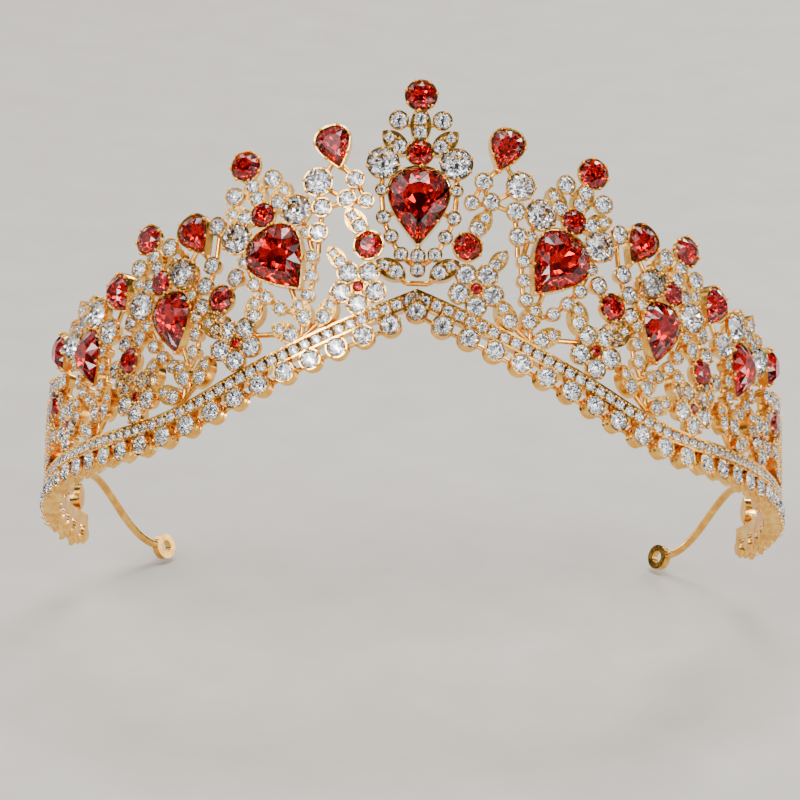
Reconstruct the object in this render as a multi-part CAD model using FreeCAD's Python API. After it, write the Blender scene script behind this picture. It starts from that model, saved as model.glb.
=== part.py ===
"""Crown: a cast filigree tiara set with red and clear cut stones.

Millimetres. +Z is up and the front faces -Y, with the band as it sits on an upright head: high at the
front and sloping down to the ears. The origin is the centre of the band's circle, at the height where
the head carries it.

The crown is laid out flat and then stood round the band's circle. In the flat layout s runs round the
band from the front centre, and h is the height above the lowest drop cups, square to the band. A motif
is drawn flat in its own x, y and z: x along the band, y up and z outwards, with z = 0 on the circle.
"""
import FreeCAD, Part
import math
import os
from FreeCAD import Placement, Rotation, Vector

# ---- driving dimensions ----
BAND_RADIUS = 76.0      # circle that the stones stand on
WEAR_TILT = 35.0        # slope of the band's circle from the front down to the ears, degrees
SEAT_HEIGHT = 6.0       # height h of the origin
BAND_END = 146.0        # s of the rail's two ends

PEAK_HEIGHT = 29.4      # rail's top edge at the front peak
SIDE_HEIGHT = 7.2       # rail's top edge along the sides
RAIL_SLOPE = 23.0       # fall of the rail's straight front runs, degrees
RAIL_BEND = 53.0        # radius of the bend from front run to side run
RAIL_HEIGHT = 3.0
RAIL_EDGE = 0.4         # width of the two edges that hold the small stones
RAIL_BACK = -1.3
RAIL_FLOOR = -0.7
RAIL_FRONT = 1.2
RAIL_STONE = 1.08       # radius of the rail's stones
RAIL_STONE_PITCH = 2.42

DROP_PITCH = 5.6
DROP_FALL = 4.8         # rail's top edge to the drops' centres
DROP_CUP = 2.2
DROP_STONE = 1.9
DROP_DEPTH = 3.6

CAST_BACK = -1.2        # back of every cast motif
CAST_FRONT = 1.05       # top of every collet
GIRDLE = (0.83, 0.95)   # every stone's girdle band
PAVILION_DEPTH = 1.65   # deepest pavilion, below the girdle
PAVILION_SLOPE = 0.85   # depth of a small stone's pavilion over its radius
CULET = 0.15            # the pavilion ends in a flat this much of the girdle's size
COLLET_WALL = 0.28
BAR = 0.55              # radius of the bars that join the collets
BAR_LEVEL = -0.5
FIT_GAP = 0.03          # gap between a stone and its pocket

TOWER_LEAN = 21.0       # lean of the side towers, degrees
TOWERS = ((0.0, 46.3), (27.4, 36.1), (51.6, 26.4), (78.3, 24.2))   # s and h of each tower's big pear
TOWER_PEARS = ((12.0, 15.8), (12.0, 15.0), (9.6, 12.8), (9.2, 12.4))   # width and length
PEAR_TURNS = (0.0, 15.0, -10.0, 0.0)    # each big pear's own lean beyond its tower's, degrees
TOWER_REACH = (1.0, 0.94, 0.86, 0.82)   # spread of each tower's other stones round its pear
TALL_TOWERS = 3         # the towers that carry a neck, a marquise and a top stone
SPIRES = ((16.8, 58.6), (46.5, 43.4), (67.8, 35.2), (95.5, 29.4))  # s and h of each spire's pear
BERRIES = ((9.5, 38.3), (39.7, 29.4), (63.5, 20.7), (98.0, 19.0))  # red round on each spire's foot
FLOWERS = ((11.4, 29.9), (36.2, 20.1), (61.0, 12.8), (88.5, 12.6))
FROND_FIRST = 105.5     # s of the first of the fronds that close each end
FROND_STEP = 9.2
FROND_COUNT = 5
FROND_TOP = 27.0        # h of the first frond's tip
FROND_FALL = 3.4        # each frond is this much lower than the one before

SPIRE_PEAR = (6.8, 8.8)
PEAR_TAPER = 1.2        # how sharply a pear narrows to its point
BIG_ROUND = 3.0
NECK_ROUND = 2.5
BERRY = 2.75
PETAL = 1.95
PETAL_RING = 3.5
FLOWER_EYE = 1.1
# pointed ovals: half width, half length, and each stone's place along the oval and radius
MARQUISE = (2.1, 4.2, ((-1.4, 1.35), (1.4, 1.35)))
LEAF = (2.0, 3.4, ((-1.15, 1.45), (1.5, 1.0)))
LEAFLET = (1.65, 2.9, ((-0.95, 1.15), (1.3, 0.85)))

HOOP_RADIUS = 0.85      # rear wires
HOOP_START = 100.0      # degrees round the circle from the front
HOOP_BEND = (110.0, 130.0)
HOOP_LEVELS = (16.0, 6.0)
HOOP_INSET = 2.0
EYELET_OUTER = 2.7
EYELET_HOLE = 1.35
EYELET_LENGTH = 1.7

SIDES = {"left": -1, "right": 1}


# ---- the rail's line ----
BEND_RISE = RAIL_BEND * (1 - math.cos(math.radians(RAIL_SLOPE)))
RUN = (PEAK_HEIGHT - SIDE_HEIGHT - BEND_RISE) / math.tan(math.radians(RAIL_SLOPE))
RUN_LENGTH = RUN / math.cos(math.radians(RAIL_SLOPE))
BEND_LENGTH = RAIL_BEND * math.radians(RAIL_SLOPE)
BEND_SPAN = RAIL_BEND * math.sin(math.radians(RAIL_SLOPE))
RAIL_LENGTH = RUN_LENGTH + BEND_LENGTH + BAND_END - RUN - BEND_SPAN
DROP_LEAD = DROP_FALL * math.sin(math.radians(RAIL_SLOPE))   # the drops close up inside the peak by this much


def rail_at(distance):
    """Position s, top edge h and downward slope in radians, at a distance along the rail."""
    slope = math.radians(RAIL_SLOPE)
    side = -1 if distance < 0 else 1
    distance = abs(distance)
    if distance < RUN_LENGTH:
        s = distance * math.cos(slope)
        return side * s, PEAK_HEIGHT - distance * math.sin(slope), slope
    if distance < RUN_LENGTH + BEND_LENGTH:
        left = slope - (distance - RUN_LENGTH) / RAIL_BEND
        s = RUN + BEND_SPAN - RAIL_BEND * math.sin(left)
        return side * s, SIDE_HEIGHT + RAIL_BEND * (1 - math.cos(left)), left
    s = RUN + BEND_SPAN + distance - RUN_LENGTH - BEND_LENGTH
    return side * s, SIDE_HEIGHT, 0.0


def below_rail(distance, depth):
    """Flat point that lies depth below the rail's top edge, square to the rail, and the slope there."""
    s, h, slope = rail_at(distance)
    side = -1 if distance < 0 else 1
    return s - side * depth * math.sin(slope), h - depth * math.cos(slope), slope


# ---- from flat to round ----
TILT = Placement(Vector(0, 0, 0), Rotation(Vector(1, 0, 0), -WEAR_TILT))


def round_point(s, h, out=0.0):
    """Point on the crown for a flat position, out millimetres outside the band's circle."""
    turn = s / BAND_RADIUS
    reach = BAND_RADIUS + out
    return TILT.multVec(Vector(reach * math.sin(turn), -reach * math.cos(turn), h - SEAT_HEIGHT))


def stand(shape, s, h, lean=0.0):
    """A flat motif stood on the band's circle; a positive lean tips its top towards +s."""
    turn = math.degrees(s / BAND_RADIUS)
    upright = Rotation(Vector(1, 0, 0), 90)
    face = Rotation(Vector(0, 0, 1), turn).multiply(upright)
    pose = face.multiply(Rotation(Vector(0, 0, 1), -lean))
    angle = math.radians(turn)
    foot = Vector(BAND_RADIUS * math.sin(angle), -BAND_RADIUS * math.cos(angle), h - SEAT_HEIGHT)
    placed = shape.copy()
    placed.Placement = TILT.multiply(Placement(foot, pose)).multiply(shape.Placement)
    return placed


# ---- outlines and simple solids ----
def closed(points, z):
    corners = [Vector(x, y, z) for x, y in points]
    return Part.makePolygon(corners + corners[:1])


def loft(wires):
    return Part.makeLoft(wires, True, True)


def round_points(radius, count, x=0.0, y=0.0):
    step = 2 * math.pi / count
    return [(x + radius * math.cos((i + 0.5) * step), y + radius * math.sin((i + 0.5) * step))
            for i in range(count)]


def pear_points(width, length, count):
    """Pear outline round its middle, with its point down at the first corner."""
    def reach(t):
        return math.sin(t) * abs(math.sin(t / 2)) ** PEAR_TAPER
    widest = max(reach(i * math.pi / 90) for i in range(90))
    turns = [2 * math.pi * i / count for i in range(count)]
    return [(reach(t) * width / 2 / widest, -math.cos(t) * length / 2) for t in turns]


def grown(points, factor, x=0.0, y=0.0):
    return [(x + factor * (px - x), y + factor * (py - y)) for px, py in points]


def turned(x, y, degrees):
    """Flat point turned about the motif's middle, clockwise as a lean is."""
    a = math.radians(degrees)
    return x * math.cos(a) + y * math.sin(a), y * math.cos(a) - x * math.sin(a)


def pavilion(radius):
    """Height at which the pavilion of a stone of this radius ends."""
    return GIRDLE[0] - min(PAVILION_DEPTH, PAVILION_SLOPE * radius)


def stone(points, radius, crown, x=0.0, y=0.0, table=0.56):
    """Cut stone on an outline: a tapering pavilion, a girdle band, crown facets and a flat table."""
    low, high = GIRDLE
    return loft([closed(grown(points, CULET, x, y), pavilion(radius)),
                 closed(points, low),
                 closed(points, high),
                 closed(grown(points, table, x, y), high + crown)])


def round_stone(radius, x=0.0, y=0.0):
    return stone(round_points(radius, 8, x, y), radius, 0.42 * radius, x, y)


def pocket(radius, x=0.0, y=0.0):
    """Seat for a round stone: a cone for its pavilion and a straight wall up past its girdle."""
    wide = radius + FIT_GAP
    foot = pavilion(radius) - FIT_GAP
    profile = ((0, foot), (CULET * wide, foot), (wide, GIRDLE[0] - FIT_GAP), (wide, 4.0), (0, 4.0))
    wire = Part.makePolygon([Vector(x + r, y, z) for r, z in profile + profile[:1]])
    return Part.Face(wire).revolve(Vector(x, y, 0), Vector(0, 0, 1), 360)


def prism(wire, low, high):
    face = Part.Face(wire)
    face.translate(Vector(0, 0, low))
    return face.extrude(Vector(0, 0, high - low))


def smooth_pear(width, length):
    points = [Vector(x, y, 0) for x, y in pear_points(width, length, 24)]
    curve = Part.BSplineCurve()
    curve.interpolate(points + points[:1])
    return Part.Wire([curve.toShape()])


def pear_seat(width, length):
    """Pocket for a pear: it narrows below the girdle as the stone does."""
    rim = smooth_pear(width, length)
    foot = smooth_pear(width * CULET, length * CULET)
    low = GIRDLE[0] - FIT_GAP
    rim.translate(Vector(0, 0, low))
    foot.translate(Vector(0, 0, pavilion(width / 2) - FIT_GAP))
    return loft([foot, rim]).fuse(prism(smooth_pear(width, length), low, 4.0))


def lens(half_width, half_length):
    """Pointed oval of two arcs, standing upright."""
    top, bottom = Vector(0, half_length, 0), Vector(0, -half_length, 0)
    right = Part.Arc(bottom, Vector(half_width, 0, 0), top).toShape()
    left = Part.Arc(top, Vector(-half_width, 0, 0), bottom).toShape()
    return Part.Wire([right, left])


class Motif:
    """Cast gold with pockets, and the stones that fill the pockets, all in the motif's flat place."""

    def __init__(self, side=1):
        self.side = side
        self.gold = []
        self.pockets = []
        self.stones = {}

    def add_stone(self, kind, solid):
        self.stones.setdefault(kind, []).append(solid)

    def round(self, kind, x, y, radius):
        """Round stone in a tapered collet."""
        x = x * self.side
        outer = radius + COLLET_WALL
        cone = Part.makeCone(outer * 0.72, outer, 1.5, Vector(x, y, CAST_BACK))
        rim = Part.makeCylinder(outer, CAST_FRONT - CAST_BACK - 1.5, Vector(x, y, CAST_BACK + 1.5))
        self.gold += [cone, rim]
        self.pockets.append(pocket(radius, x, y))
        self.add_stone(kind, round_stone(radius, x, y))

    def pear(self, kind, x, y, size, lean=0.0):
        """Pear stone, point down, in a collet of its own shape."""
        width, length = size
        collet = prism(smooth_pear(width + 2 * COLLET_WALL, length + 3 * COLLET_WALL), CAST_BACK, CAST_FRONT)
        seat = pear_seat(width + 2 * FIT_GAP, length + 3 * FIT_GAP)
        outline = pear_points(width - FIT_GAP, length - FIT_GAP, 16)
        gem = stone(outline, width / 2, 0.3 * width / 2 + 0.6)
        for solid in (collet, seat, gem):
            solid.rotate(Vector(0, 0, 0), Vector(0, 0, 1), -lean * self.side)
            solid.translate(Vector(x * self.side, y, 0))
        self.gold.append(collet)
        self.pockets.append(seat)
        self.add_stone(kind, gem)

    def leaf(self, x, y, lean, shape=LEAF):
        """Pointed oval that holds two small clear stones, the larger at its foot."""
        half_width, half_length, stones = shape
        body = prism(lens(half_width, half_length), CAST_BACK, CAST_FRONT)
        body.rotate(Vector(0, 0, 0), Vector(0, 0, 1), -lean * self.side)
        body.translate(Vector(x * self.side, y, 0))
        self.gold.append(body)
        for place, radius in stones:
            dx, dy = turned(0.0, place, lean)
            cx, cy = (x + dx) * self.side, y + dy
            self.pockets.append(pocket(radius, cx, cy))
            self.add_stone("clear", round_stone(radius, cx, cy))

    def bars(self, *points):
        """Round bars from each point to the next, below the pockets' floors."""
        for (x0, y0), (x1, y1) in zip(points, points[1:]):
            start = Vector(x0 * self.side, y0, BAR_LEVEL)
            run = Vector(x1 * self.side, y1, BAR_LEVEL) - start
            self.gold.append(Part.makeCylinder(BAR, run.Length, start, run))

    def cast(self):
        """The motif's gold as one solid."""
        body = self.gold[0].multiFuse(self.gold[1:])
        return body.cut(Part.makeCompound(self.pockets)).removeSplitter()


# ---- motifs ----
def tower(unit, side):
    """Big red pear with chains of small clears down its sides; a tall one rises to a red top stone."""
    m = Motif(side)
    reach = TOWER_REACH[unit]
    m.pear("pear", 0, 0, TOWER_PEARS[unit], PEAR_TURNS[unit])
    chain = [(x * reach, y * reach) for x, y in ((6.9, -2.4), (5.3, -6.3), (3.3, -9.9))]
    stem = (0.0, -12.4 * reach)
    shoulder = (7.2 * reach, 8.7 * reach)
    m.bars((0, -4), stem)
    if unit == 0:
        m.round("clear", 0, -10.2, 1.25)
        m.round("clear", 0, -13.0, 1.25)
    for flank in (1, -1):
        for x, y in chain:
            m.round("clear", flank * x, y, 1.2)
        m.bars((flank * 3.5, 0), *[(flank * x, y) for x, y in chain + [stem]])
        m.round("clear", flank * shoulder[0], shoulder[1], BIG_ROUND)
        m.round("clear", flank * 7.4 * reach, 3.2 * reach, 1.0)
        m.bars((0, 4), (flank * shoulder[0], shoulder[1]), (flank * 7.4 * reach, 3.2 * reach),
               (flank * chain[0][0], chain[0][1]))
    if unit < TALL_TOWERS:
        neck, oval, top = 10.9 * reach, 16.6 * reach, 22.8 * reach
        m.round("red", 0, neck, NECK_ROUND)
        m.leaf(0, oval, 0, MARQUISE)
        m.round("red", 0, top, BIG_ROUND)
        m.bars((0, 4), (0, top))
        for flank in (1, -1):
            m.round("clear", flank * 4.3, oval + 1.0, 1.7)
            m.leaf(flank * 4.9 * reach, 13.0 * reach, flank * 48)
            m.bars((0, oval), (flank * 4.3, oval + 1.0))
            m.bars((0, neck), (flank * 4.9 * reach, 13.0 * reach))
    else:
        m.leaf(0, 10.4, 0, MARQUISE)
        m.bars((0, 4), (0, 10.4))
        for flank in (1, -1):
            m.leaf(flank * 3.3, 9.6, flank * 40)
            m.bars((0, 4), (flank * 3.3, 9.6))
    return m


def spire(unit, side):
    """Leaning red pear on a branching stem of clear rounds that ends in a red round, flat about its middle."""
    crest_s, crest_h = SPIRES[unit]
    berry_s, berry_h = BERRIES[unit]
    half = ((crest_s - berry_s) / 2, (crest_h - berry_h) / 2)
    m = Motif(side)

    def at_crest(x, y):
        return half[0] + x, half[1] + y

    def at_berry(x, y):
        return x - half[0], y - half[1]

    crest, berry = at_crest(0, 0), at_berry(0, 0)
    m.pear("pear", *crest, SPIRE_PEAR, 16.0 if unit == 0 else 30.0)
    right, left, stem = at_crest(3.1, -7.1), at_crest(-4.3, -6.7), at_crest(-2.7, -10.7)
    m.round("clear", *right, 2.7)
    m.round("clear", *left, 1.6)
    m.round("clear", *stem, 1.6)
    m.round("red", *berry, BERRY)
    m.bars(at_crest(0, -2), right, stem, left, at_crest(0, -2))
    m.bars(stem, berry)
    if unit == 0:
        outer, low, inner, leaf = at_berry(9.5, 8.0), at_berry(10.1, 2.9), at_berry(0.7, 9.1), at_berry(2.6, 4.9)
        m.round("clear", *outer, 1.75)
        m.round("clear", *low, 1.7)
        m.round("clear", *inner, 1.35)
        m.leaf(*leaf, 35)
        m.bars(left, inner, stem, outer, low, at_berry(10.2, -1.0))
    else:
        outer, inner, leaf = at_berry(4.6, -1.0), at_berry(-3.3, 4.0), at_berry(1.8, -5.4)
        m.round("clear", *outer, 1.6)
        m.round("clear", *inner, 1.6)
        m.leaf(*leaf, 45)
        m.bars(outer, berry, inner)
        m.bars(berry, leaf)
        if unit == 1:
            side_round = at_crest(-5.2, 1.3)
            m.round("clear", *side_round, 1.7)
            m.bars(side_round, left)
    s, h = (crest_s + berry_s) / 2 * side, (crest_h + berry_h) / 2
    return m, s, h


def flower(side):
    """Five clear petals round a small red eye, the lowest petal straight down, and a leaf above them."""
    m = Motif(side)
    m.round("eye", 0, 0, FLOWER_EYE)
    for i in range(5):
        a = math.radians(72 * i - 90)
        x, y = PETAL_RING * math.cos(a), PETAL_RING * math.sin(a)
        m.round("petal", x, y, PETAL)
        m.bars((0, 0), (x, y))
    m.leaf(4.3, 5.9, 38, LEAFLET)
    m.bars((0, 0), (4.3, 5.9))
    return m


def sprig(unit, side):
    """Leaves below a tower: their stems gather at the rail."""
    m = Motif(side)
    if unit == 0:
        for flank in (1, -1):
            m.leaf(flank * 5.2, -12.9, flank * 60)
            m.bars((flank * 5.2, -12.9), (flank * 2.2, -15.4), (0, -15.4))
        return m
    shift = 0.0 if unit == 1 else 2.0
    foot = (shift - 4.6, -16.0)
    for x, y, lean in ((-10.2, -11.3, -28), (-5.0, -10.9, 25), (-1.8, -14.8, 62)):
        m.leaf(x + shift, y, lean)
        m.bars(foot, (x + shift, y))
    m.leaf(5.0, -9.8, -4)
    m.bars((5.0, -9.8), (5.4, -14.5), (shift - 1.8, -14.8))
    return m


def frond(height):
    """Stem of small leaves that closes each end of the band, from the rail to its tip."""
    m = Motif()
    half_length = LEAFLET[1]
    m.leaf(0, height - half_length, 0, LEAFLET)
    m.bars((0, -0.6), (0, height - half_length))
    level = height - 2 * half_length
    while level > 1.6:
        for flank in (1, -1):
            m.leaf(flank * 2.3, level, flank * 52, LEAFLET)
            m.bars((0, level - 1.8), (flank * 2.3, level))
        level -= 3.6
    return m


# ---- band ----
def rail():
    """Channel that follows the rail's line: a back, and two edges with the small stones between."""
    profile = ((RAIL_BACK, 0.0), (RAIL_FRONT, 0.0), (RAIL_FRONT, RAIL_EDGE), (RAIL_FLOOR, RAIL_EDGE),
               (RAIL_FLOOR, RAIL_HEIGHT - RAIL_EDGE), (RAIL_FRONT, RAIL_HEIGHT - RAIL_EDGE),
               (RAIL_FRONT, RAIL_HEIGHT), (RAIL_BACK, RAIL_HEIGHT))
    spans = 52
    sections = []
    for i in range(-spans, spans + 1):
        s, h, slope = rail_at(RAIL_LENGTH * i / spans)
        corners = [round_point(s, h - fall / math.cos(slope), out) for out, fall in profile]
        sections.append(Part.makePolygon(corners + corners[:1]))
    return loft(sections)


def rail_stones():
    gem = round_stone(RAIL_STONE)
    count = int((RAIL_LENGTH - 1.0) / RAIL_STONE_PITCH)
    solids = []
    for i in range(-count, count + 1):
        s, h, slope = below_rail(i * RAIL_STONE_PITCH, RAIL_HEIGHT / 2)
        if i == 0:
            h = PEAK_HEIGHT - RAIL_HEIGHT / 2 / math.cos(slope)
        solids.append(stand(gem, s, h, math.degrees(slope) * (1 if i >= 0 else -1)))
    return solids


def drop_cup():
    """Deep cup with two ribs round it, on a short neck that rises to the rail."""
    front = CAST_FRONT + 0.35
    back = front - DROP_DEPTH
    step = DROP_DEPTH / 6
    rib, groove = DROP_CUP, DROP_CUP - 0.28
    wide = DROP_STONE + FIT_GAP
    lift = front - CAST_FRONT
    outline = [(0, back), (groove * 0.8, back), (groove, back + step), (rib, back + step * 1.5),
               (groove, back + step * 2.2), (groove, back + step * 2.8), (rib, back + step * 3.5),
               (groove, back + step * 4.2), (groove, back + step * 4.8), (rib, back + step * 5.4),
               (rib, front), (wide, front), (wide, GIRDLE[0] + lift - FIT_GAP),
               (CULET * wide, pavilion(DROP_STONE) + lift - FIT_GAP), (0, pavilion(DROP_STONE) + lift - FIT_GAP)]
    wire = Part.makePolygon([Vector(r, 0, z) for r, z in outline + outline[:1]])
    cup = Part.Face(wire).revolve(Vector(0, 0, 0), Vector(0, 0, 1), 360)
    neck = Part.makeCylinder(0.7, 1.2, Vector(0, groove - 0.5, 0), Vector(0, 1, 0))
    gem = round_stone(DROP_STONE)
    gem.translate(Vector(0, 0, lift))
    return cup.fuse(neck), gem


def tube(points, radius, corners=10):
    """Thin round wire through points that lie close together."""
    rings = []
    for i, point in enumerate(points):
        ahead = points[min(i + 1, len(points) - 1)] - points[max(i - 1, 0)]
        turn = Rotation(Vector(0, 0, 1), ahead)
        ring = [point + turn.multVec(Vector(x, y, 0)) for x, y in round_points(radius, corners)]
        rings.append(Part.makePolygon(ring + ring[:1]))
    return loft(rings)


def drop_place(side, number):
    """Flat place and lean of one side's drops; number 0 hangs below the front peak."""
    if number == 0:
        return 0.0, below_rail(0.0, DROP_FALL)[1], 0.0
    s, h, slope = below_rail(side * (number * DROP_PITCH + DROP_LEAD), DROP_FALL)
    return s, h, math.degrees(slope) * side


def drops(side):
    """One side's drop cups as one solid on the wire behind them, and their stones."""
    cup, gem = drop_cup()
    count = int((RAIL_LENGTH - 1.5 - DROP_LEAD) / DROP_PITCH)
    places = [drop_place(side, number) for number in range(0 if side > 0 else 1, count + 1)]
    cups = [stand(cup, *place) for place in places]
    gems = [stand(gem, *place) for place in places]
    wire_points = []
    for (s, h, _), (next_s, next_h, _) in zip(places, places[1:]):
        wire_points.append(round_point(s, h, CAST_BACK - 0.2))
        wire_points.append(round_point((s + next_s) / 2, (h + next_h) / 2, CAST_BACK - 0.2))
    wire_points.append(round_point(*places[-1][:2], CAST_BACK - 0.2))
    return tube(wire_points, 0.5).multiFuse(cups), gems


# ---- rear wires ----
def hoop_height(degrees):
    start, end = HOOP_BEND
    part = min(max((degrees - start) / (end - start), 0.0), 1.0)
    high, low = HOOP_LEVELS
    return low + (high - low) * (1 + math.cos(math.pi * part)) / 2


def hoop_point(degrees, side):
    s = math.radians(degrees) * BAND_RADIUS * side
    return round_point(s, hoop_height(degrees), -HOOP_INSET)


def hoop(side):
    steps = 24
    end = HOOP_BEND[1]
    turns = [HOOP_START + (end - HOOP_START) * i / steps for i in range(steps + 1)]
    return tube([hoop_point(t, side) for t in turns], HOOP_RADIUS, 16)


def eyelet(side):
    """Flat ring on the wire's end, with its hole pointing outwards."""
    middle = math.degrees((EYELET_OUTER - 0.2) / (BAND_RADIUS - HOOP_INSET)) + HOOP_BEND[1]
    start = Vector(0, 0, -EYELET_LENGTH / 2 - HOOP_INSET)
    ring = Part.makeCylinder(EYELET_OUTER, EYELET_LENGTH, start)
    hole = Part.makeCylinder(EYELET_HOLE, EYELET_LENGTH * 3, start - Vector(0, 0, EYELET_LENGTH))
    s = math.radians(middle) * BAND_RADIUS * side
    return stand(ring.cut(hole), s, HOOP_LEVELS[1])


# ---- assembly ----
NODES = {}


def keep(name, solids):
    NODES.setdefault(name, []).extend(solids)


def stand_motif(m, name, stones, s, h, lean=0.0, cast=None):
    """Stands a motif's gold in its own node, and its stones in the nodes named for their kinds."""
    keep(name, [stand(cast or m.cast(), s, h, lean)])
    for kind, solids in m.stones.items():
        keep(stones[kind], [stand(solid, s, h, lean) for solid in solids])


def build():
    keep("rail", [rail()])
    keep("rail_stones", rail_stones())
    tower_stones = {"pear": "tower_pears", "red": "tower_rounds", "clear": "tower_clears"}
    spire_stones = {"pear": "spire_pears", "red": "berries", "clear": "spire_clears"}
    flower_stones = {"petal": "petals", "eye": "flower_eyes", "clear": "spire_clears"}
    blooms = {side: flower(side) for side in SIDES.values()}
    casts = {side: bloom.cast() for side, bloom in blooms.items()}
    for unit, (s, h) in enumerate(TOWERS):
        for name, side in SIDES.items():
            if unit == 0 and side < 0:
                continue
            label = "centre" if unit == 0 else "%s_%d" % (name, unit)
            lean = TOWER_LEAN * side if unit else 0.0
            stand_motif(tower(unit, side), "tower_" + label, tower_stones, s * side, h, lean)
            stand_motif(sprig(unit, side), "sprig_" + label, {"clear": "sprig_clears"}, s * side, h)
    for unit in range(len(SPIRES)):
        for name, side in SIDES.items():
            label = "%s_%d" % (name, unit + 1)
            m, s, h = spire(unit, side)
            stand_motif(m, "spire_" + label, spire_stones, s, h)
            s, h = FLOWERS[unit]
            stand_motif(blooms[side], "flower_" + label, flower_stones, s * side, h, 0.0, casts[side])
    for number in range(FROND_COUNT):
        s = FROND_FIRST + FROND_STEP * number
        m = frond(FROND_TOP - FROND_FALL * number - SIDE_HEIGHT)
        cast = m.cast()
        for name, side in SIDES.items():
            stand_motif(m, "fronds_" + name, {"clear": "frond_clears"}, s * side, SIDE_HEIGHT, 0.0, cast)
    for name, side in SIDES.items():
        cups, gems = drops(side)
        keep("drop_cups_" + name, [cups])
        keep("drop_stones_" + name, gems)
        keep("hoop_" + name, [hoop(side)])
        keep("eyelet_" + name, [eyelet(side)])


build()
os.makedirs("parts", exist_ok=True)
for node, solids in NODES.items():
    shape = solids[0] if len(solids) == 1 else Part.makeCompound(solids)
    shape.exportStep("parts/%s.step" % node)
    print("%-18s solids %3d valid %s volume %8.1f" % (node, len(shape.Solids), shape.isValid(), shape.Volume))
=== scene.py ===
"""Crown: a cast filigree tiara in warm gold, set with red and clear cut stones.

Metres, in the crown's own frame: +Z is up and the front faces -Y. The gold castings come from the CAD
model. Each stone is cut here as a faceted brilliant in the place of the plain CAD stone, with a bright
foil behind it, and is held by small bead prongs.
"""

import bmesh
import bpy
import math
import random
from mathutils import Matrix, Vector

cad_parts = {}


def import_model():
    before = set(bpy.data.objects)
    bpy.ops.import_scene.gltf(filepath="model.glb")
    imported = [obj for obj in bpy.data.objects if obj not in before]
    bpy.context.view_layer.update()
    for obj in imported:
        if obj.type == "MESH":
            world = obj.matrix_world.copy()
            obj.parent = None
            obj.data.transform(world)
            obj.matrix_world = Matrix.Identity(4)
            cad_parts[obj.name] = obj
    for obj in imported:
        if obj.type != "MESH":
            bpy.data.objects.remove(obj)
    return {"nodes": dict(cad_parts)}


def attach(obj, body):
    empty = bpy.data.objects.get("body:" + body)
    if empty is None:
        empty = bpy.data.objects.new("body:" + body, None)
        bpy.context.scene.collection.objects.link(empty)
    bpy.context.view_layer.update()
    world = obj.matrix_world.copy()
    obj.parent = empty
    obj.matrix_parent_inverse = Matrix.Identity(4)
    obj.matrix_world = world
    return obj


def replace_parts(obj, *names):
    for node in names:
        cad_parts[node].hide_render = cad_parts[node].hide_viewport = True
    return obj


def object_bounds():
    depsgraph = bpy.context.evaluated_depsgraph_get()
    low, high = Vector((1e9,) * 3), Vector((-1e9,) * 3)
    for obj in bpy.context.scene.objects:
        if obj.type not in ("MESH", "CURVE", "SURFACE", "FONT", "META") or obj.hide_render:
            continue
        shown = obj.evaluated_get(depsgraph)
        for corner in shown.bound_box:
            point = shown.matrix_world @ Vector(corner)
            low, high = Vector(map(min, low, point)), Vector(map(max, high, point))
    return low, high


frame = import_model()
cad_low, cad_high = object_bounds()
dice = random.Random(11)

# ---- driving dimensions, metres ----
GIRDLE = 0.00012            # height of a stone's girdle band
TABLE = 0.54                # a table's share of its stone's outline
KITE_REACH = 0.82           # where the crown's kite facets meet, as a share of the outline
KITE_RISE = 0.58            # and as a share of the crown's height
HALF_REACH = 0.58           # where the pavilion's half facets meet, as a share of the outline
HALF_DEPTH = 0.26           # and as a share of its depth
MAIN_REACH = 0.36           # where the pavilion's main facets break towards the culet
MAIN_DEPTH = 0.72           # and how deep they break, as a share of its depth
CULET = 0.15                # a culet's share of its stone's outline
PEAR_TAPER = 1.2            # how sharply a pear narrows to its point
SMALL_BEAD = 0.00030        # radius of a prong's bead
LARGE_BEAD = 0.00042
BEAD_STRETCH = 1.5          # a bead is this much taller than it is wide
BEAD_OFFSET = 0.00013       # a bead's middle stands this far outside its stone
BEAD_HEIGHT = 0.00030       # and this far above the foot of the girdle
BEAD_SIDES = 8              # flats round a bead, which is smooth-shaded
PRONGS = ((0.0026, 7), (0.0019, 5), (0.0, 4))       # a round of more than this radius: its number of prongs
LARGE_STONE = 0.0019        # a stone of more than this half width has large beads
PEAR_SPOTS = 16             # points round a pear where prongs may stand
PEAR_PRONGS = (0, 3, 5, 7, 9, 11, 13)       # and which of them have one, from the pear's point
PEAR_CORNERS = 24           # points of a pear's cut outline
ROUND_CORNERS = 16          # and of a round's
WIDTH_SAMPLES = 90          # steps used to find where a pear is widest

# how closely the CAD stones are read
STRAIGHT = math.radians(175.0)      # an outline's point with a wider angle than this is no corner
WELD = 2e-6                 # points nearer than this are one
LEVEL = 1e-5                # points this close in height are at one level
SAME_FLAT = 0.9995          # cosine between two faces that lie in one flat

# ---- the photograph's view ----
TARGET = Vector((0.0, 0.0124, 0.0178))      # on the band's axis, level with the front stones
CAMERA_RISE = math.radians(20.0)
CAMERA_REACH = 0.876        # from the target to the camera
CAMERA_ROLL = math.radians(1.24)
LENS = 186.0                # millimetres
LENS_SHIFT = -0.0185        # sideways shift of the picture, as a share of its width
FLOOR_HALF = 4.0            # the floor reaches this far from the crown
FLOOR_GAP = 0.0005          # it lies this far under the crown's lowest point

# each CAD node of stones: its material slot, and whether its stones are pears
STONE_NODES = {
    "rail_stones": ("clear_stone", False),
    "tower_clears": ("clear_stone", False),
    "spire_clears": ("clear_stone", False),
    "sprig_clears": ("clear_stone", False),
    "frond_clears": ("clear_stone", False),
    "petals": ("clear_stone", False),
    "drop_stones_left": ("clear_stone", False),
    "drop_stones_right": ("clear_stone", False),
    "tower_rounds": ("red_stone", False),
    "berries": ("red_stone", False),
    "flower_eyes": ("red_stone", False),
    "tower_pears": ("red_stone", True),
    "spire_pears": ("red_stone", True),
}


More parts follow.
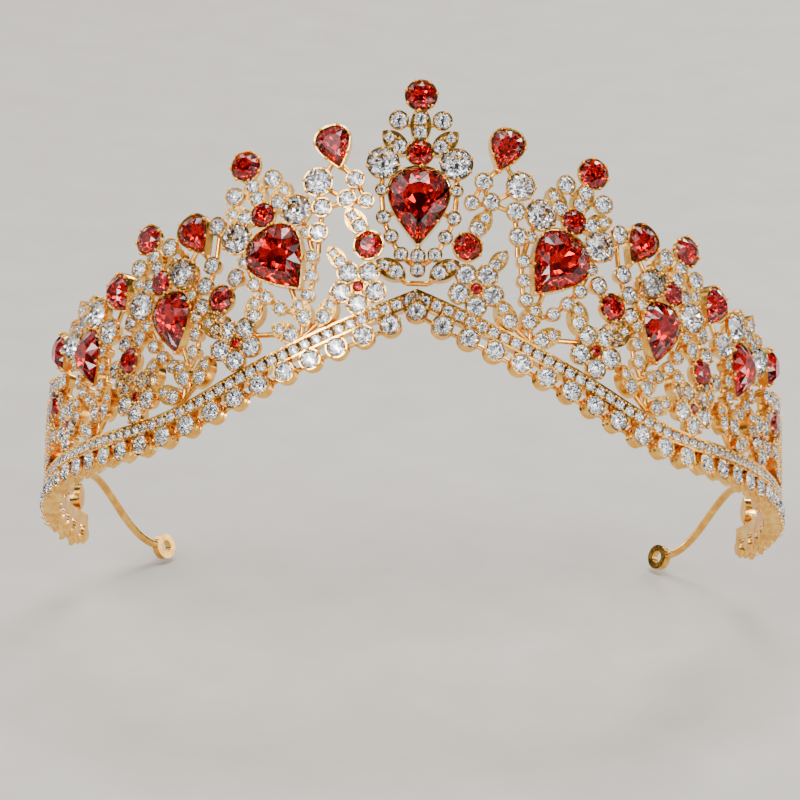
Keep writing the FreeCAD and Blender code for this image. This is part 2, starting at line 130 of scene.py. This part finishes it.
# ---- materials ----
def new_material(name):
    material = bpy.data.materials.new(name)
    material.use_nodes = True
    tree = material.node_tree
    tree.nodes.clear()
    output = tree.nodes.new("ShaderNodeOutputMaterial")
    return material, tree, output


def noise(tree, scale, detail, roughness=0.5):
    """Noise in the object's own space, its scale in waves per metre."""
    place = tree.nodes.new("ShaderNodeTexCoord")
    texture = tree.nodes.new("ShaderNodeTexNoise")
    texture.inputs["Scale"].default_value = scale
    texture.inputs["Detail"].default_value = detail
    texture.inputs["Roughness"].default_value = roughness
    tree.links.new(place.outputs["Object"], texture.inputs["Vector"])
    return texture.outputs["Fac"]


def ramp(tree, factor, stops):
    """Colour ramp with a stop for each (position, colour)."""
    node = tree.nodes.new("ShaderNodeValToRGB")
    band = node.color_ramp
    band.elements[0].position, band.elements[0].color = stops[0]
    band.elements[1].position, band.elements[1].color = stops[-1]
    for position, colour in stops[1:-1]:
        band.elements.new(position).color = colour
    tree.links.new(factor, node.inputs["Fac"])
    return node.outputs["Color"]


def gold_material():
    """Polished warm gold plate with the slight ripple and dullness of a casting."""
    material, tree, output = new_material("gold_plate")
    shader = tree.nodes.new("ShaderNodeBsdfPrincipled")
    shader.inputs["Metallic"].default_value = 1.0
    tint = ramp(tree, noise(tree, scale=420.0, detail=3.0), (
        (0.32, (0.72, 0.34, 0.05, 1.0)),
        (0.52, (0.88, 0.48, 0.09, 1.0)),
        (0.70, (0.98, 0.64, 0.18, 1.0)),
    ))
    dull = ramp(tree, noise(tree, scale=900.0, detail=4.0, roughness=0.6), (
        (0.30, (0.10, 0.10, 0.10, 1.0)),
        (0.75, (0.30, 0.30, 0.30, 1.0)),
    ))
    bump = tree.nodes.new("ShaderNodeBump")
    bump.inputs["Strength"].default_value = 0.35
    bump.inputs["Distance"].default_value = 0.0001
    tree.links.new(noise(tree, scale=1400.0, detail=2.0), bump.inputs["Height"])
    tree.links.new(tint, shader.inputs["Base Color"])
    tree.links.new(dull, shader.inputs["Roughness"])
    tree.links.new(bump.outputs["Normal"], shader.inputs["Normal"])
    tree.links.new(shader.outputs["BSDF"], output.inputs["Surface"])
    return material


def cut_glass(name, stops, refraction, shine):
    """Clear glass for a stone's crown. Its tint drifts from stone to stone, and shine is its glare."""
    material, tree, output = new_material(name)
    shader = tree.nodes.new("ShaderNodeBsdfPrincipled")
    shader.inputs["Transmission Weight"].default_value = 1.0
    shader.inputs["IOR"].default_value = refraction
    shader.inputs["Specular IOR Level"].default_value = shine
    tree.links.new(ramp(tree, noise(tree, scale=180.0, detail=2.0), stops), shader.inputs["Base Color"])
    dull = ramp(tree, noise(tree, scale=2500.0, detail=2.0), (
        (0.35, (0.0, 0.0, 0.0, 1.0)),
        (0.80, (0.05, 0.05, 0.05, 1.0)),
    ))
    tree.links.new(dull, shader.inputs["Roughness"])
    tree.links.new(shader.outputs["BSDF"], output.inputs["Surface"])
    return material


def foil(name, stops):
    """Mirror backing of a stone's pavilion, a little uneven."""
    material, tree, output = new_material(name)
    shader = tree.nodes.new("ShaderNodeBsdfPrincipled")
    shader.inputs["Metallic"].default_value = 1.0
    shader.inputs["Roughness"].default_value = 0.06
    tree.links.new(ramp(tree, noise(tree, scale=700.0, detail=2.0), stops), shader.inputs["Base Color"])
    tree.links.new(shader.outputs["BSDF"], output.inputs["Surface"])
    return material


GOLD = gold_material()
CLEAR_TINT = ((0.3, (0.93, 0.95, 1.0, 1.0)), (0.7, (1.0, 0.98, 0.96, 1.0)))
SILVER_TINT = ((0.3, (0.80, 0.81, 0.85, 1.0)), (0.7, (0.98, 0.98, 0.97, 1.0)))
RED_TINT = ((0.3, (0.44, 0.0, 0.003, 1.0)), (0.7, (0.56, 0.0, 0.003, 1.0)))
RED_FOIL_TINT = ((0.3, (0.70, 0.0, 0.005, 1.0)), (0.7, (0.95, 0.005, 0.01, 1.0)))
# each kind of stone: the glass of its crown, and the foil of its pavilion
GLASS = {
    "clear_stone": (
        cut_glass("clear_crystal", CLEAR_TINT, refraction=1.6, shine=0.5),
        foil("silver_foil", SILVER_TINT),
    ),
    "red_stone": (
        cut_glass("red_crystal", RED_TINT, refraction=1.55, shine=0.1),
        foil("red_foil", RED_FOIL_TINT),
    ),
}


# ---- reading the CAD stones ----
def solids_of(node):
    """The separate solids of a CAD node, each as its welded vertices and its faces."""
    mesh = bmesh.new()
    mesh.from_mesh(frame["nodes"][node].data)
    bmesh.ops.remove_doubles(mesh, verts=mesh.verts, dist=WELD)
    mesh.normal_update()
    for vertex in mesh.verts:
        vertex.tag = False
    for start in mesh.verts:
        if start.tag:
            continue
        start.tag = True
        found = [start]
        for vertex in found:
            for edge in vertex.link_edges:
                other = edge.other_vert(vertex)
                if not other.tag:
                    other.tag = True
                    found.append(other)
        faces = []
        for vertex in found:
            faces += [face for face in vertex.link_faces if face.loops[0].vert == vertex]
        yield found, faces
    mesh.free()


def table_direction(faces):
    """Outward normal of a stone's table, its largest flat."""
    flats = [(face.normal.copy(), face.calc_area()) for face in faces]
    sizes = [sum(area for other, area in flats if other.dot(normal) > SAME_FLAT)
             for normal, _ in flats]
    return flats[sizes.index(max(sizes))][0].normalized()


def girdle_levels(points, normal):
    """Heights along the normal of the table, both edges of the girdle, and the culet."""
    middle = sum(points, Vector()) / len(points)
    heights = [(point - middle).dot(normal) for point in points]
    reaches = [((point - middle) - normal * height).length for point, height in zip(points, heights)]
    widest = max(reaches) - WELD
    rim = [height for height, reach in zip(heights, reaches) if reach > widest]
    base = middle.dot(normal)
    return [base + height for height in (max(heights), max(rim), min(rim), min(heights))]


def sharp_corners(points, normal):
    """The outline's corners in order round it, each with the angle between its two sides."""
    middle = sum(points, Vector()) / len(points)
    first = (points[0] - middle).normalized()
    second = normal.cross(first)

    def turn(point):
        return math.atan2((point - middle).dot(second), (point - middle).dot(first))

    points = sorted(points, key=turn)
    corners = []
    for i, point in enumerate(points):
        before, after = points[i - 1] - point, points[(i + 1) % len(points)] - point
        opening = before.angle(after)
        if opening < STRAIGHT:
            corners.append((opening, point))
    return corners


def read_stone(vertices, faces, is_pear):
    """A CAD stone's place and measurements. Its place has z out of the table, and a pear's point at -y."""
    normal = table_direction(faces)
    points = [vertex.co.copy() for vertex in vertices]
    table, girdle, low, culet = girdle_levels(points, normal)
    outline = [point for point in points if abs(point.dot(normal) - girdle) < LEVEL]
    corners = sharp_corners(outline, normal)
    middle = sum((point for _, point in corners), Vector()) / len(corners)
    tip = min(corners, key=lambda corner: corner[0])[1]
    down = (tip - middle).normalized()
    down = (down - normal * down.dot(normal)).normalized()
    across = down.cross(normal)
    along = [(point - middle).dot(down) for _, point in corners]
    aside = [(point - middle).dot(across) for _, point in corners]
    middle += down * (max(along) + min(along)) / 2 + across * (max(aside) + min(aside)) / 2
    foot = middle + normal * (low - girdle)
    axes = Matrix((-across, -down, normal)).transposed().to_4x4()
    return {
        "place": Matrix.Translation(foot) @ axes,
        "width": max(aside) - min(aside),
        "length": max(along) - min(along),
        "crown": table - girdle,
        "depth": low - culet,
        "pear": is_pear,
    }


# ---- cutting the stones ----
def round_outline(radius, count):
    step = 2 * math.pi / count
    return [(radius * math.cos(i * step), radius * math.sin(i * step)) for i in range(count)]


def pear_outline(width, length, count):
    """Pear outline round its middle, with its point at -y at the first corner."""
    def reach(t):
        return math.sin(t) * abs(math.sin(t / 2)) ** PEAR_TAPER

    widest = max(reach(i * math.pi / WIDTH_SAMPLES) for i in range(WIDTH_SAMPLES))
    turns = [2 * math.pi * i / count for i in range(count)]
    return [(reach(t) * width / 2 / widest, -math.cos(t) * length / 2) for t in turns]


def cut_stone(mesh, place, outline, crown, depth):
    """Adds one brilliant: table, star, kite and half facets of glass over a foiled pavilion."""
    def ring(points, share, height):
        return [mesh.verts.new(place @ Vector((x * share, y * share, height))) for x, y in points]

    corners, between = outline[0::2], outline[1::2]
    count = len(corners)
    table = ring(corners, TABLE, GIRDLE + crown)
    kites = ring(between, KITE_REACH, GIRDLE + crown * KITE_RISE)
    high = ring(outline, 1.0, GIRDLE)
    low = ring(outline, 1.0, 0.0)
    halves = ring(between, HALF_REACH, -depth * HALF_DEPTH)
    mains = ring(corners, MAIN_REACH, -depth * MAIN_DEPTH)
    culet = ring(corners, CULET, -depth)
    glass = [table]
    backing = [culet[::-1]]
    for i in range(count):
        after = (i + 1) % count
        corner, side, ahead = 2 * i, 2 * i + 1, 2 * after
        glass += [
            (table[i], kites[i], table[after]),
            (high[corner], kites[i], table[i]),
            (high[corner], table[i], kites[i - 1]),
            (high[corner], high[side], kites[i]),
            (high[side], high[ahead], kites[i]),
            (low[corner], low[side], high[side], high[corner]),
            (low[side], low[ahead], high[ahead], high[side]),
        ]
        backing += [
            (low[side], low[corner], halves[i]),
            (low[ahead], low[side], halves[i]),
            (low[corner], mains[i], halves[i]),
            (low[corner], halves[i - 1], mains[i]),
            (halves[i], mains[i], mains[after]),
            (mains[i], culet[i], culet[after], mains[after]),
        ]
    for corners_of_face in glass:
        mesh.faces.new(corners_of_face)
    for corners_of_face in backing:
        mesh.faces.new(corners_of_face).material_index = 1


def bead(mesh, place, radius):
    """Adds one smooth bead, taller than it is wide."""
    def spot(rise, turn):
        reach, height = radius * math.cos(rise), radius * BEAD_STRETCH * math.sin(rise)
        return mesh.verts.new(place @ Vector((reach * math.cos(turn), reach * math.sin(turn), height)))

    turns = [2 * math.pi * i / BEAD_SIDES for i in range(BEAD_SIDES)]
    top, foot = spot(math.pi / 2, 0.0), spot(-math.pi / 2, 0.0)
    rings = [[spot(rise, turn) for turn in turns] for rise in (math.pi / 4, 0.0, -math.pi / 4)]
    faces = []
    for i in range(BEAD_SIDES):
        after = (i + 1) % BEAD_SIDES
        faces += [(top, rings[0][i], rings[0][after]), (foot, rings[2][after], rings[2][i])]
        faces += [(upper[i], lower[i], lower[after], upper[after]) for upper, lower in zip(rings, rings[1:])]
    for corners in faces:
        mesh.faces.new(corners).smooth = True


def prongs(mesh, stone, first_turn):
    """Adds the beads that hold one stone at its girdle."""
    radius = stone["width"] / 2
    size = LARGE_BEAD if radius > LARGE_STONE else SMALL_BEAD
    if stone["pear"]:
        width = stone["width"] + 2 * BEAD_OFFSET
        length = stone["length"] + 3 * BEAD_OFFSET
        outline = pear_outline(width, length, PEAR_SPOTS)
        chosen = [outline[i] for i in PEAR_PRONGS]
    else:
        count = next(number for least, number in PRONGS if radius > least)
        turns = [first_turn + 2 * math.pi * i / count for i in range(count)]
        reach = radius + BEAD_OFFSET
        chosen = [(reach * math.cos(t), reach * math.sin(t)) for t in turns]
    for x, y in chosen:
        bead(mesh, stone["place"] @ Matrix.Translation((x, y, BEAD_HEIGHT)), size)


def first_prong(stone, stones):
    """Turn of a stone's first prong, an eighth of a turn away from its nearest neighbour."""
    here = stone["place"].translation
    others = [other["place"].translation for other in stones if other is not stone]
    nearest = min(others, key=lambda there: (there - here).length)
    local = stone["place"].inverted() @ nearest
    return math.atan2(local.y, local.x) + math.pi / 4


def add_piece(name, mesh, materials, slot):
    data = bpy.data.meshes.new(name)
    mesh.to_mesh(data)
    mesh.free()
    piece = bpy.data.objects.new(name, data)
    bpy.context.scene.collection.objects.link(piece)
    for material in materials:
        data.materials.append(material)
    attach(piece, "root")
    return piece


def set_stones(node, slot, is_pear):
    """Cuts the stones of one CAD node, and makes the prongs that hold them."""
    stones = [read_stone(vertices, faces, is_pear) for vertices, faces in solids_of(node)]
    cut, claws = bmesh.new(), bmesh.new()
    for stone in stones:
        if is_pear:
            outline = pear_outline(stone["width"], stone["length"], PEAR_CORNERS)
            place = stone["place"]
        else:
            outline = round_outline(stone["width"] / 2, ROUND_CORNERS)
            place = stone["place"] @ Matrix.Rotation(dice.uniform(0, math.pi), 4, "Z")
        cut_stone(cut, place, outline, stone["crown"], stone["depth"])
        prongs(claws, stone, 0.0 if is_pear else first_prong(stone, stones))
    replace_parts(add_piece("cut_" + node, cut, GLASS[slot], slot), node)
    add_piece("prongs_" + node, claws, (GOLD,), "gold")


for node, (slot, is_pear) in STONE_NODES.items():
    set_stones(node, slot, is_pear)

for name, node in frame["nodes"].items():
    if name not in STONE_NODES:
        node.data.materials.clear()
        node.data.materials.append(GOLD)


# ---- floor, lights and camera ----
def floor():
    mesh = bmesh.new()
    bmesh.ops.create_grid(mesh, x_segments=1, y_segments=1, size=FLOOR_HALF)
    data = bpy.data.meshes.new("floor")
    mesh.to_mesh(data)
    mesh.free()
    ground = bpy.data.objects.new("floor", data)
    bpy.context.scene.collection.objects.link(ground)
    ground.location.z = cad_low.z - FLOOR_GAP
    material, tree, output = new_material("pale_floor")
    shader = tree.nodes.new("ShaderNodeBsdfPrincipled")
    shader.inputs["Roughness"].default_value = 0.6
    tint = ramp(tree, noise(tree, scale=60.0, detail=6.0), (
        (0.3, (0.50, 0.47, 0.43, 1.0)),
        (0.7, (0.55, 0.52, 0.48, 1.0)),
    ))
    tree.links.new(tint, shader.inputs["Base Color"])
    tree.links.new(shader.outputs["BSDF"], output.inputs["Surface"])
    data.materials.append(material)


def soft_light(name, place, size, watts, colour):
    """Square soft light that faces the crown."""
    data = bpy.data.lights.new(name, "AREA")
    data.size = size
    data.energy = watts
    data.color = colour
    light = bpy.data.objects.new(name, data)
    bpy.context.scene.collection.objects.link(light)
    light.location = place
    light.rotation_euler = (TARGET - Vector(place)).to_track_quat("-Z", "Y").to_euler()


def world():
    """Studio surroundings of soft bright panels with dim gaps between them, for the stones to catch."""
    surroundings = bpy.data.worlds.new("studio")
    bpy.context.scene.world = surroundings
    surroundings.use_nodes = True
    tree = surroundings.node_tree
    tree.nodes.clear()
    place = tree.nodes.new("ShaderNodeTexCoord")
    texture = tree.nodes.new("ShaderNodeTexNoise")
    texture.inputs["Scale"].default_value = 3.2
    texture.inputs["Detail"].default_value = 1.0
    tree.links.new(place.outputs["Generated"], texture.inputs["Vector"])
    colour = ramp(tree, texture.outputs["Fac"], (
        (0.44, (0.03, 0.027, 0.025, 1.0)),
        (0.50, (0.25, 0.24, 0.23, 1.0)),
        (0.56, (0.9, 0.9, 0.9, 1.0)),
        (0.64, (2.6, 2.6, 2.6, 1.0)),
    ))
    background = tree.nodes.new("ShaderNodeBackground")
    background.inputs["Strength"].default_value = 1.35
    output = tree.nodes.new("ShaderNodeOutputWorld")
    tree.links.new(colour, background.inputs["Color"])
    tree.links.new(background.outputs["Background"], output.inputs["Surface"])


def camera():
    data = bpy.data.cameras.new("camera")
    data.sensor_width = 36.0
    data.lens = LENS
    data.shift_x = LENS_SHIFT
    data.clip_start = 0.01
    data.clip_end = 20.0
    eye = bpy.data.objects.new("camera", data)
    bpy.context.scene.collection.objects.link(eye)
    back = Vector((0.0, -math.cos(CAMERA_RISE), math.sin(CAMERA_RISE)))
    eye.location = TARGET + back * CAMERA_REACH
    aim = (-back).to_track_quat("-Z", "Y").to_matrix().to_4x4()
    eye.rotation_euler = (aim @ Matrix.Rotation(CAMERA_ROLL, 4, "Z")).to_euler()
    bpy.context.scene.camera = eye


floor()
world()
soft_light("key", (-0.7, -0.9, 1.0), size=0.45, watts=14.0, colour=(1.0, 0.97, 0.93))
soft_light("fill", (0.9, -0.8, 0.5), size=0.35, watts=6.0, colour=(0.93, 0.96, 1.0))
soft_light("top", (0.1, 0.2, 1.2), size=0.5, watts=9.0, colour=(1.0, 1.0, 1.0))
soft_light("rim", (0.5, 0.9, 0.6), size=0.3, watts=5.0, colour=(1.0, 0.95, 0.9))
camera()
